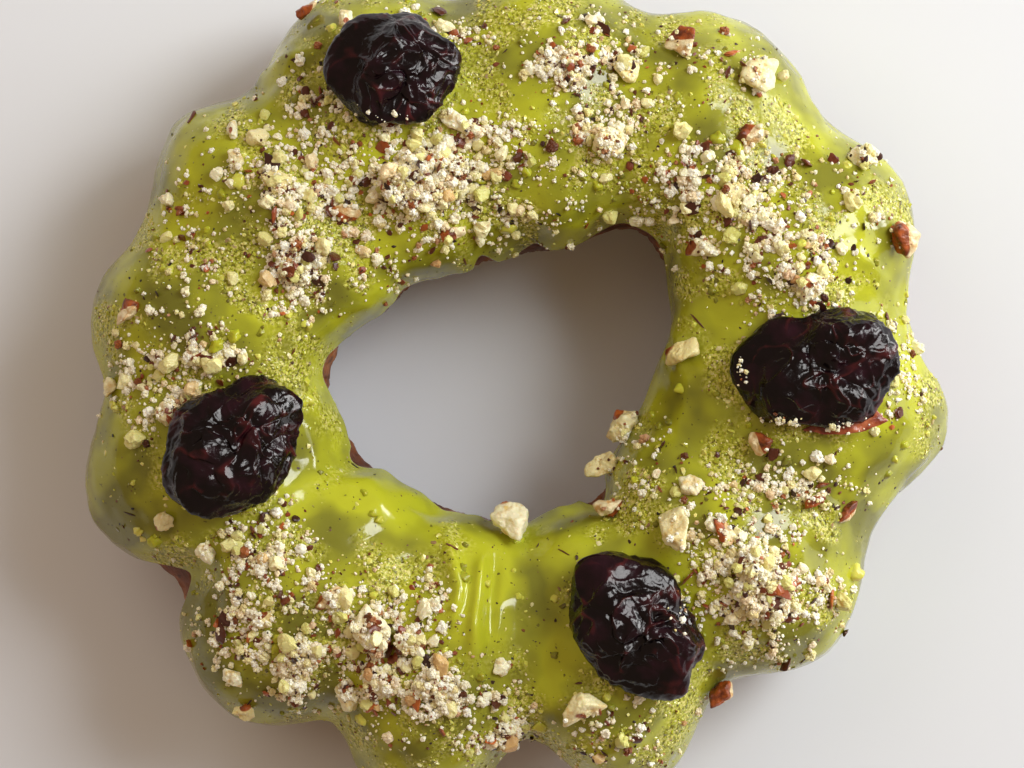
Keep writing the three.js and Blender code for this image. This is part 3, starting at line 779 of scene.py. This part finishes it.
# The zones of dry crumbs: place on the plan, half sizes, turn in degrees, and how many crumbs of nut and of
# skin.
ZONES = [
    ((-21.5, 21.5, 7.5, 4.5, 0), 420, 40),
    ((-9.5, 21.0, 8.5, 5.5, 8), 820, 110),
    ((-4.5, 24.5, 7.0, 3.0, -10), 260, 30),
    ((-22.5, 12.8, 3.6, 5.0, 0), 330, 80),
    ((-36.0, 0.8, 4.5, 5.0, 0), 260, 20),
    ((-31.5, 3.0, 3.5, 3.0, 0), 200, 20),
    ((-25.5, -17.0, 4.5, 4.5, 0), 300, 50),
    ((-28.0, -24.5, 4.5, 4.0, 0), 240, 30),
    ((-19.0, -21.5, 3.5, 3.5, 0), 120, 20),
    ((-12.8, -27.5, 5.2, 6.8, 15), 620, 90),
    ((-22.0, -29.0, 3.0, 4.0, 0), 160, 20),
    ((-1.8, -34.5, 3.6, 4.5, 0), 230, 50),
    ((7.5, 33.0, 6.0, 5.0, 0), 220, 60),
    ((8.5, 26.0, 5.0, 4.0, 0), 200, 20),
    ((17.5, 20.5, 6.0, 5.0, 0), 240, 50),
    ((23.5, 18.5, 6.0, 6.5, 0), 380, 60),
    ((28.0, 12.0, 5.0, 4.5, 0), 280, 50),
    ((22.5, -18.5, 5.5, 8.0, 0), 560, 90),
    ((27.5, -9.5, 6.5, 3.5, 0), 160, 20),
    ((26.5, -21.0, 4.0, 7.0, 0), 220, 40),
    ((31.5, -21.0, 3.5, 4.0, 0), 60, 10),
    ((12.5, -8.0, 3.5, 5.0, 0), 60, 10),
    ((-8.6, -22.0, 2.0, 3.0, 0), 60, 10),
    ((-7.5, 36.0, 6.5, 3.0, 0), 60, 15),
    ((-20.0, 29.5, 6.0, 4.5, 30), 110, 20),
    ((-33.0, 14.0, 5.0, 9.0, 0), 90, 20),
    ((35.5, 21.0, 5.0, 6.0, 0), 60, 15),
    ((38.5, 2.0, 3.0, 6.0, 0), 110, 15),
    ((20.0, 33.0, 7.0, 5.0, 0), 60, 15),
    ((10.0, -35.0, 7.0, 3.5, 0), 70, 15),
    ((0.0, 18.0, 9.0, 3.5, 0), 90, 20),
    ((-14.0, 12.5, 4.5, 3.5, 0), 40, 8),
]
# Where meal clings to the cranberries: place on the plan, half sizes and turn, and how many crumbs.
DUSTED = [
    ((26.6, -3.4, 2.6, 0.8, -8), 90),
    ((33.5, -3.6, 3.4, 0.7, 4), 16),
    ((22.6, 1.5, 0.8, 1.6, 0), 14),
    ((-14.0, 27.5, 3.0, 0.8, 0), 20),
    ((16.5, -22.0, 0.9, 2.6, 0), 16),
]


def make_drift(index, material, rng):
    """A heap of nut meal: a lumpy core that stands for the CAD heap, crusted with crumbs."""
    node = f"nut_meal_heap_{index}"
    shape = Recast(node, 6, 8)
    noise = Noise(300 + index)
    points = shape.offsets()
    lumps = 0.35 * noise(points, 1.7) + 0.30 * noise.fractal(points, 0.8, 3, 0.7)
    core = shape.vertices(shape.reach * 0.95 + lumps, DRIFT_SINK)
    crumbs = Crumbs()
    crumbs.add((core[None], shape.faces), np.zeros((1, 3)), np.ones(1), np.eye(3)[None], rng)
    tree = BVHTree.FromPolygons(core.tolist(), shape.faces.tolist())
    low, high = core.min(axis=0)[:2], core.max(axis=0)[:2]
    count = int(DRIFT_CRUMBS * np.prod(high - low))
    points, normals = below(tree, rng.uniform(low, high, size=(count, 2)))
    sizes = sizes_for(rng, len(points), *NUT_SIZES)
    crumbs.add_nut(points, normals, sizes, rng.uniform(-0.1, 1.3, len(points)), rng)
    piece = crumbs.piece(f"nut_drift_{index}", "nut_meal", material)
    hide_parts(node)
    return piece


def make_dry_crumbs(ground, materials, rng):
    """Loose crumbs of nut and of its brown skin; each zone's nut is a piece of its own, to keep it light."""
    skin, chips, dust = Crumbs(), Crumbs(), Crumbs()
    for number, (zone, nut_count, skin_count) in enumerate(ZONES, 1):
        nut_count = int(nut_count * THICKNESS_OF_ZONES)
        nut = Crumbs()
        nut.add_nut(*strewn(ground, rng, zone, nut_count, 0.9, NUT_SIZES), 0.3, rng)
        nut.piece(f"nut_crumbs_{number}", "nut_meal", materials["meal"])
        dust_count = int(0.45 * nut_count)
        dust.scatter(GRITS, *strewn(ground, rng, zone, dust_count, 0.8, DUST_SIZES), 0, 0.5, rng)
        chips.scatter(CHIPS, *strewn(ground, rng, zone, nut_count // 40, 0.6, CHIP_SIZES), 0.35, 3, rng)
        skin.scatter(FLAKES, *strewn(ground, rng, zone, 2 * skin_count, 0.85, SKIN_SIZES), 0.3, 0.6, rng)
    chips.piece("nut_chips", "nut_kernel", materials["chip"])
    dust.piece("wet_dust", "glaze", materials["coated"])
    skin.piece("skin_flakes", "nut_skin", materials["skin"])


def make_berry_dust(berries, material, rng):
    """Fine meal on the cranberries' edges."""
    dust = Crumbs()
    ground = search_tree(berries)
    for zone, count in DUSTED:
        dust.add_nut(*strewn(ground, rng, zone, count, 0.3, BERRY_DUST_SIZES), 0.4, rng)
    dust.piece("berry_dust", "nut_meal", material)


# ---- Crumbs in the glaze ----
COATED_PARTS = [("left", -FAR, -12), ("middle", -12, 18), ("right", 18, FAR)]  # from one x to another
STALK = [(-32.4, 30.6), (-32.9, 29.4), (-33.1, 28.3), (-33.7, 27.2)]  # places on the plan
STALK_STATIONS = 24
STALK_SIDES = 10


def make_coated_crumbs(ground, material, rng):
    """Crumbs that the glaze has run over, in several pieces to keep each light."""
    points, normals = below(ground, rng.uniform(-46, 46, size=(90000, 2)))
    wanted = 0.95 * grittiness(points) + 0.03 * smoothstep(8, 14, points[:, 2])
    kept = (normals[:, 2] > 0.25) & (rng.random(len(points)) < wanted)
    points, normals = points[kept], normals[kept]
    sizes = sizes_for(rng, len(points), *COATED_SIZES)
    for name, first, last in COATED_PARTS:
        chosen = (points[:, 0] >= first) & (points[:, 0] < last)
        crumbs = Crumbs()
        crumbs.scatter(GRITS, points[chosen], normals[chosen], sizes[chosen], -0.1, 0.5, rng)
        crumbs.piece(f"coated_crumbs_{name}", "glaze", material)


def make_coated_lumps(ground, material, rng):
    """Larger crumbs under the glaze, which show as domes."""
    points, normals = all_over(ground, rng, 420, 44, 0.35, 10)
    lumps = Crumbs()
    lumps.scatter(CHIPS, points, normals, sizes_for(rng, len(points), *LUMP_SIZES), -0.25, 3, rng)
    lumps.piece("coated_lumps", "glaze", material, smooth=True)


def make_specks(ground, material, rng):
    """Tiny dark flecks in the glaze, and a few slivers."""
    points, normals = all_over(ground, rng, 3200, 46, 0.1, 6)
    specks = Crumbs()
    specks.scatter(FLAKES, points, normals, sizes_for(rng, len(points), *SPECK_SIZES), 0, 0.3, rng)
    slivers = rng.random(len(points)) < 0.03
    points, normals = points[slivers], normals[slivers]
    specks.scatter(SLIVERS, points, normals, rng.uniform(0.4, 0.9, len(points)), 0, 0.3, rng)
    specks.piece("dark_specks", "nut_skin", material)


def make_stalk(ground, material):
    """A thin dark stalk that lies on the glaze at the upper left, tapering to one end."""
    spots, normals = below(ground, STALK)
    spots = spots + normals * 0.12
    steps = np.linspace(0, len(spots) - 1, STALK_STATIONS)
    path = np.column_stack([np.interp(steps, range(len(spots)), spots[:, axis]) for axis in range(3)])
    path += 0.06 * np.column_stack([np.sin(3.1 * steps), np.cos(4.3 * steps), np.zeros_like(steps)])
    radii = 0.19 - 0.04 * steps + 0.03 * np.sin(5 * steps)
    radii[[0, -1]] = 0.02
    heading = np.gradient(path, axis=0)
    side = np.cross(heading, (0, 0, 1))
    side /= np.linalg.norm(side, axis=1)[:, None]
    up = np.cross(side, heading)
    up /= np.linalg.norm(up, axis=1)[:, None]
    angle = around(STALK_SIDES)
    across = np.cos(angle)[None, :, None] * side[:, None] + np.sin(angle)[None, :, None] * up[:, None]
    vertices, faces = tube(path[:, None] + radii[:, None, None] * across)
    open_faces = faces[: (STALK_STATIONS - 1) * STALK_SIDES].tolist()
    first, last = list(range(STALK_SIDES)), list(range(len(vertices) - STALK_SIDES, len(vertices)))
    piece = make_piece("dark_stalk", vertices, open_faces + [first, last[::-1]], material)
    mark(piece, "tone", np.full(len(vertices), 0.5))


# ---- Materials ----
GREEN_BRIGHT = (0.46, 0.465, 0.024, 1)
GREEN_DEEP = (0.185, 0.178, 0.022, 1)
GREEN_PALE = (0.66, 0.62, 0.11, 1)
GREEN_DARK = (0.12, 0.10, 0.012, 1)
GREEN_GOLD = (0.80, 0.70, 0.24, 1)
NUT_GLOW = (1.0, 0.75, 0.35)  # how far red, green and blue light spread inside nut, as shares


def linear(red, green, blue):
    """A colour given as a screen shows it, 0 to 255, as the shader wants it."""
    shares = (value / 255 for value in (red, green, blue))
    return tuple(s / 12.92 if s <= 0.04045 else ((s + 0.055) / 1.055) ** 2.4 for s in shares) + (1,)


class Finish:
    """A material with one principled shader, and short ways to feed its sockets."""

    def __init__(self, name, **values):
        self.material = bpy.data.materials.new(name)
        self.material.use_nodes = True
        self.nodes = self.material.node_tree.nodes
        self.links = self.material.node_tree.links
        self.nodes.clear()
        self.shader = self.nodes.new("ShaderNodeBsdfPrincipled")
        self.links.new(self.shader.outputs[0], self.nodes.new("ShaderNodeOutputMaterial").inputs[0])
        self.place = self.nodes.new("ShaderNodeTexCoord").outputs["Object"]
        self.heights = []
        for socket, value in values.items():
            self.shader.inputs[socket.replace("_", " ")].default_value = value

    def noise(self, period, detail=2.0):
        """Noise of this period in millimetres, from 0 to 1."""
        node = self.nodes.new("ShaderNodeTexNoise")
        node.inputs["Scale"].default_value = 1 / (period * MM)
        node.inputs["Detail"].default_value = detail
        self.links.new(self.place, node.inputs["Vector"])
        return node.outputs["Fac"]

    def mark(self, name):
        """The number that the mesh holds at each vertex under this name."""
        node = self.nodes.new("ShaderNodeAttribute")
        node.attribute_name = name
        return node.outputs["Fac"]

    def ramp(self, value, *stops):
        """A value turned into colours or numbers: each stop is a value and what it gives."""
        node = self.nodes.new("ShaderNodeValToRGB")
        elements = node.color_ramp.elements
        while len(elements) < len(stops):
            elements.new(0.5)
        for element, (at, gives) in zip(elements, stops):
            element.position = at
            element.color = gives if isinstance(gives, tuple) else (gives, gives, gives, 1)
        self.links.new(value, node.inputs[0])
        return node.outputs[0]

    def mix(self, share, low, high):
        """Colours mixed by a share; each is a colour or another node's output."""
        node = self.nodes.new("ShaderNodeMix")
        node.data_type = "RGBA"
        self.feed(share, node.inputs["Factor"])
        self.feed(low, node.inputs[6])
        self.feed(high, node.inputs[7])
        return node.outputs[2]

    def math(self, operation, first, second):
        node = self.nodes.new("ShaderNodeMath")
        node.operation = operation
        self.feed(first, node.inputs[0])
        self.feed(second, node.inputs[1])
        return node.outputs[0]

    def feed(self, source, socket):
        """Links another node's output to a socket, or sets the socket's own value."""
        if isinstance(source, bpy.types.NodeSocket):
            self.links.new(source, socket)
        else:
            socket.default_value = source

    def set(self, socket, source):
        self.feed(source, self.shader.inputs[socket])

    def bump(self, height, distance, strength=1.0):
        """Adds bumps this many millimetres high over what is there already."""
        node = self.nodes.new("ShaderNodeBump")
        node.inputs["Distance"].default_value = distance * MM
        self.feed(strength, node.inputs["Strength"])
        self.links.new(height, node.inputs["Height"])
        if self.heights:
            self.links.new(self.heights[-1], node.inputs["Normal"])
        self.heights.append(node.outputs[0])
        self.links.new(node.outputs[0], self.shader.inputs["Normal"])


def toned_finish(name, *stops, period=None, height=0.05, **values):
    """A finish whose colour goes by each crumb's own tone, with bumps of a period and a height."""
    finish = Finish(name, **values)
    finish.set("Base Color", finish.ramp(finish.mark("tone"), *stops))
    if period:
        finish.bump(finish.noise(period, 2.0), height)
    return finish.material


def glaze_finish():
    finish = Finish("matcha_glaze_finish", Subsurface_Weight=0.12, Subsurface_Scale=0.0012)
    finish.set("Subsurface Radius", (1.0, 0.9, 0.2))
    finish.set("Specular IOR Level", 0.45)
    drifting = finish.ramp(finish.noise(6.0), (0.36, 0.0), (0.62, 0.9))
    # The glaze's colour drifts at random, and the marked ovals add painted light and painted shade on top.
    drift_and_painted_light = finish.math("SUBTRACT", finish.math("ADD", drifting, finish.mark("painted_light")), 0.45)
    body = finish.mix(drift_and_painted_light, GREEN_DEEP, GREEN_BRIGHT)
    gritty = finish.mark("gritty")
    # Fine colour noise where crumbs lie under the glaze: partly the crumbs' own colour, partly painted
    # glints at its gold end and painted shade between grains at its dark end.
    grains = finish.ramp(
        finish.noise(0.36, 3.0), (0.36, GREEN_DARK), (0.5, GREEN_BRIGHT), (0.64, GREEN_GOLD)
    )
    speckled = finish.mix(finish.math("MULTIPLY", gritty, 0.8), body, grains)
    specks = finish.ramp(finish.noise(0.55, 1.0), (0.73, 0.0), (0.77, 0.7))
    finish.set("Base Color", finish.mix(specks, speckled, (0.05, 0.03, 0.01, 1)))
    finish.set("Roughness", finish.ramp(gritty, (0.0, 0.10), (1.0, 0.20)))
    finish.bump(finish.noise(0.45, 3.0), 0.24, gritty)
    finish.bump(finish.noise(2.4, 2.0), 0.06)
    return finish.material


def coated_finish():
    return toned_finish(
        "coated_crumb_finish",
        (0.0, GREEN_DARK),
        (0.3, GREEN_BRIGHT),
        (0.6, GREEN_PALE),
        (0.85, GREEN_GOLD),
        (0.91, linear(232, 220, 160)),
        (1.0, linear(120, 64, 26)),
        period=0.25,
        Roughness=0.22,
        Subsurface_Weight=0.12,
        Subsurface_Scale=0.0006,
        Coat_Weight=0.9,
        Coat_Roughness=0.06,
    )


def lump_finish():
    return toned_finish(
        "coated_lump_finish",
        (0.0, GREEN_DEEP),
        (0.5, GREEN_BRIGHT),
        (1.0, GREEN_PALE),
        period=0.6,
        height=0.08,
        Roughness=0.18,
        Subsurface_Weight=0.12,
        Subsurface_Scale=0.0012,
    )


def meal_finish():
    return toned_finish(
        "nut_meal_finish",
        (0.0, linear(226, 204, 146)),
        (0.12, linear(238, 226, 160)),
        (0.26, linear(250, 239, 204)),
        (0.70, linear(255, 249, 226)),
        (0.92, linear(244, 218, 172)),
        (0.96, linear(160, 88, 42)),
        (1.0, linear(74, 34, 16)),
        period=0.25,
        height=0.06,
        Roughness=0.45,
        Subsurface_Weight=0.2,
        Subsurface_Scale=0.0006,
        Subsurface_Radius=NUT_GLOW,
    )


def skin_finish():
    return toned_finish(
        "nut_skin_finish",
        (0.0, linear(44, 22, 14)),
        (0.5, linear(92, 40, 20)),
        (0.85, linear(138, 62, 26)),
        (1.0, linear(186, 98, 40)),
        period=0.3,
        Roughness=0.35,
        Coat_Weight=0.2,
    )


def speck_finish():
    stops = (0.0, linear(24, 18, 14)), (0.6, linear(60, 36, 18)), (1.0, linear(110, 60, 26))
    return toned_finish("dark_speck_finish", *stops, Roughness=0.5)


def nut_finish(name, **values):
    """The start of a finish for cut nut, which light shines into."""
    return Finish(name, Subsurface_Weight=0.2, Subsurface_Scale=0.0010, Subsurface_Radius=NUT_GLOW, **values)


def chip_finish():
    finish = nut_finish("nut_chip_finish", Roughness=0.32)
    body = finish.ramp(
        finish.mark("tone"),
        (0.0, linear(206, 202, 112)),
        (0.4, linear(236, 224, 158)),
        (0.8, linear(248, 240, 206)),
        (0.95, linear(226, 190, 128)),
        (1.0, linear(150, 84, 40)),
    )
    stained = finish.ramp(finish.noise(0.9, 3.0), (0.62, 0.0), (0.72, 0.5))
    finish.set("Base Color", finish.mix(stained, body, linear(176, 112, 62)))
    finish.bump(finish.noise(0.3, 3.0), 0.10)
    return finish.material


def kernel_finish():
    finish = nut_finish("nut_kernel_finish", Roughness=0.34)
    cream = finish.mix(finish.mark("tone"), linear(232, 216, 150), linear(248, 240, 206))
    lit = finish.ramp(finish.noise(0.9, 3.0), (0.30, 0.0), (0.5, 1.0))
    shaded = finish.mix(lit, linear(218, 186, 116), cream)
    brown = finish.ramp(finish.noise(1.4, 3.0), (0.35, linear(108, 48, 20)), (0.65, linear(176, 92, 40)))
    skinned = finish.ramp(finish.mark("skinned"), (0.84, 0.0), (0.90, 1.0))
    finish.set("Base Color", finish.mix(skinned, shaded, brown))
    finish.bump(finish.noise(0.35, 3.0), 0.10)
    return finish.material


def skinned_finish():
    finish = Finish("skinned_nut_finish", Roughness=0.38)
    cream = finish.ramp(finish.noise(0.9, 3.0), (0.35, linear(206, 160, 100)), (0.6, linear(240, 224, 180)))
    brown = finish.ramp(finish.noise(1.2, 3.0), (0.35, linear(92, 38, 16)), (0.68, linear(186, 92, 36)))
    skinned = finish.ramp(finish.mark("skinned"), (0.0, 0.0), (0.10, 1.0))
    finish.set("Base Color", finish.mix(skinned, cream, brown))
    finish.bump(finish.noise(0.35, 3.0), 0.10)
    return finish.material


def cranberry_finish():
    finish = Finish("cranberry_finish", Coat_Weight=0.35, Coat_Roughness=0.05, Specular_IOR_Level=0.15)
    patches = finish.ramp(finish.noise(3.0, 2.0), (0.46, 0.0), (0.64, 1.0))
    crests = finish.ramp(finish.mark("crest"), (0.45, 0.0), (1.0, 0.75))
    reddened = finish.math("MULTIPLY", crests, patches)
    flesh = finish.ramp(
        finish.noise(2.6, 2.0), (0.45, (0.0025, 0.001, 0.002, 1)), (0.75, (0.016, 0.003, 0.007, 1))
    )
    finish.set("Base Color", finish.mix(reddened, flesh, (0.085, 0.012, 0.013, 1)))
    finish.set("Roughness", finish.ramp(finish.noise(1.2, 3.0), (0.35, 0.10), (0.7, 0.30)))
    finish.bump(finish.noise(0.4, 2.0), 0.05)
    return finish.material


def flap_finish():
    finish = Finish("cranberry_skin_finish", Roughness=0.3, Coat_Weight=0.4, Coat_Roughness=0.1)
    stops = (0.35, linear(70, 22, 14)), (0.5, linear(132, 52, 28)), (0.66, linear(182, 98, 56))
    finish.set("Base Color", finish.ramp(finish.noise(1.5, 3.0), *stops))
    finish.bump(finish.noise(0.4, 3.0), 0.06)
    return finish.material


def dough_finish():
    finish = Finish("dough_finish", Roughness=0.6, Subsurface_Weight=0.05, Subsurface_Scale=0.0008)
    stops = (0.34, linear(92, 46, 22)), (0.5, linear(126, 68, 34)), (0.68, linear(168, 104, 56))
    crust = finish.ramp(finish.noise(5.0, 3.0), *stops)
    seared = finish.ramp(finish.noise(0.9, 4.0), (0.52, 0.0), (0.68, 0.8))
    finish.set("Base Color", finish.mix(seared, crust, linear(58, 28, 14)))
    finish.bump(finish.noise(0.6, 4.0), 0.18)
    return finish.material


def floor_finish():
    finish = Finish("floor_finish", Roughness=0.7)
    finish.set("Base Color", (0.755, 0.765, 0.79, 1))
    return finish.material


# ---- Stage ----
def make_camera():
    """A camera that looks straight down, from where it sees the wanted width."""
    camera = bpy.data.objects.new("camera", bpy.data.cameras.new("camera"))
    camera.data.lens = LENS
    camera.data.sensor_width = SENSOR_WIDTH
    camera.data.clip_start = 0.01
    height = AIM[2] + SEEN_WIDTH * LENS / SENSOR_WIDTH
    camera.location = (AIM[0] * MM, AIM[1] * MM, height * MM)
    bpy.context.scene.collection.objects.link(camera)
    bpy.context.scene.camera = camera


def make_floor():
    bpy.ops.mesh.primitive_plane_add(size=FLOOR_SIZE * MM, location=(0, 0, -FLOOR_DROP * MM))
    floor = bpy.context.object
    floor.name = "floor"
    floor.data.materials.append(floor_finish())


def make_light(name, place, size, power, colour, mirrored):
    """A soft rectangular light that faces the lit point."""
    light = bpy.data.objects.new(name, bpy.data.lights.new(name, "AREA"))
    light.data.energy = power
    light.data.shape = "RECTANGLE"
    light.data.size, light.data.size_y = (length * MM for length in size)
    light.data.color = colour
    light.location = Vector(place) * MM
    light.rotation_euler = (Vector(LIT_POINT) - Vector(place)).to_track_quat("-Z", "Y").to_euler()
    light.visible_glossy = mirrored
    bpy.context.scene.collection.objects.link(light)


def make_world():
    """A dim warm glow from everywhere, and colours shown as they are."""
    world = bpy.data.worlds.new("world")
    world.use_nodes = True
    world.node_tree.nodes["Background"].inputs["Color"].default_value = WORLD_COLOUR
    world.node_tree.nodes["Background"].inputs["Strength"].default_value = 1.0
    bpy.context.scene.world = world
    bpy.context.scene.view_settings.view_transform = "Standard"


# ---- Assembly ----
make_camera()
make_floor()
for light in LIGHTS:
    make_light(*light)
make_world()
materials = {
    "meal": meal_finish(),
    "skin": skin_finish(),
    "speck": speck_finish(),
    "coated": coated_finish(),
    "lump": lump_finish(),
    "chip": chip_finish(),
    "kernel": kernel_finish(),
    "skinned": skinned_finish(),
    "cranberry": cranberry_finish(),
    "flap": flap_finish(),
}
ring = Ring()
make_dough(ring, dough_finish())
glaze = make_glaze(ring, glaze_finish())
on_glaze = search_tree([glaze])
berries = [make_cranberry(name, i, materials["cranberry"]) for i, name in enumerate(BERRIES)]
nuts = make_nuts("nut_kernel", 0, on_glaze, materials["kernel"])
nuts += make_nuts("nut_skin", 60, on_glaze, materials["skinned"])
rng = np.random.default_rng(2024)
make_coated_crumbs(on_glaze, materials["coated"], rng)
make_coated_lumps(on_glaze, materials["lump"], rng)
make_specks(on_glaze, materials["speck"], rng)
make_stalk(on_glaze, materials["skin"])
drifts = [make_drift(i, materials["meal"], rng) for i in range(1, DRIFTS + 1)]
make_dry_crumbs(search_tree([glaze] + nuts + drifts), materials, rng)
flap = make_flap(on_glaze, materials["flap"])
make_berry_dust(berries + [flap], materials["meal"], rng)
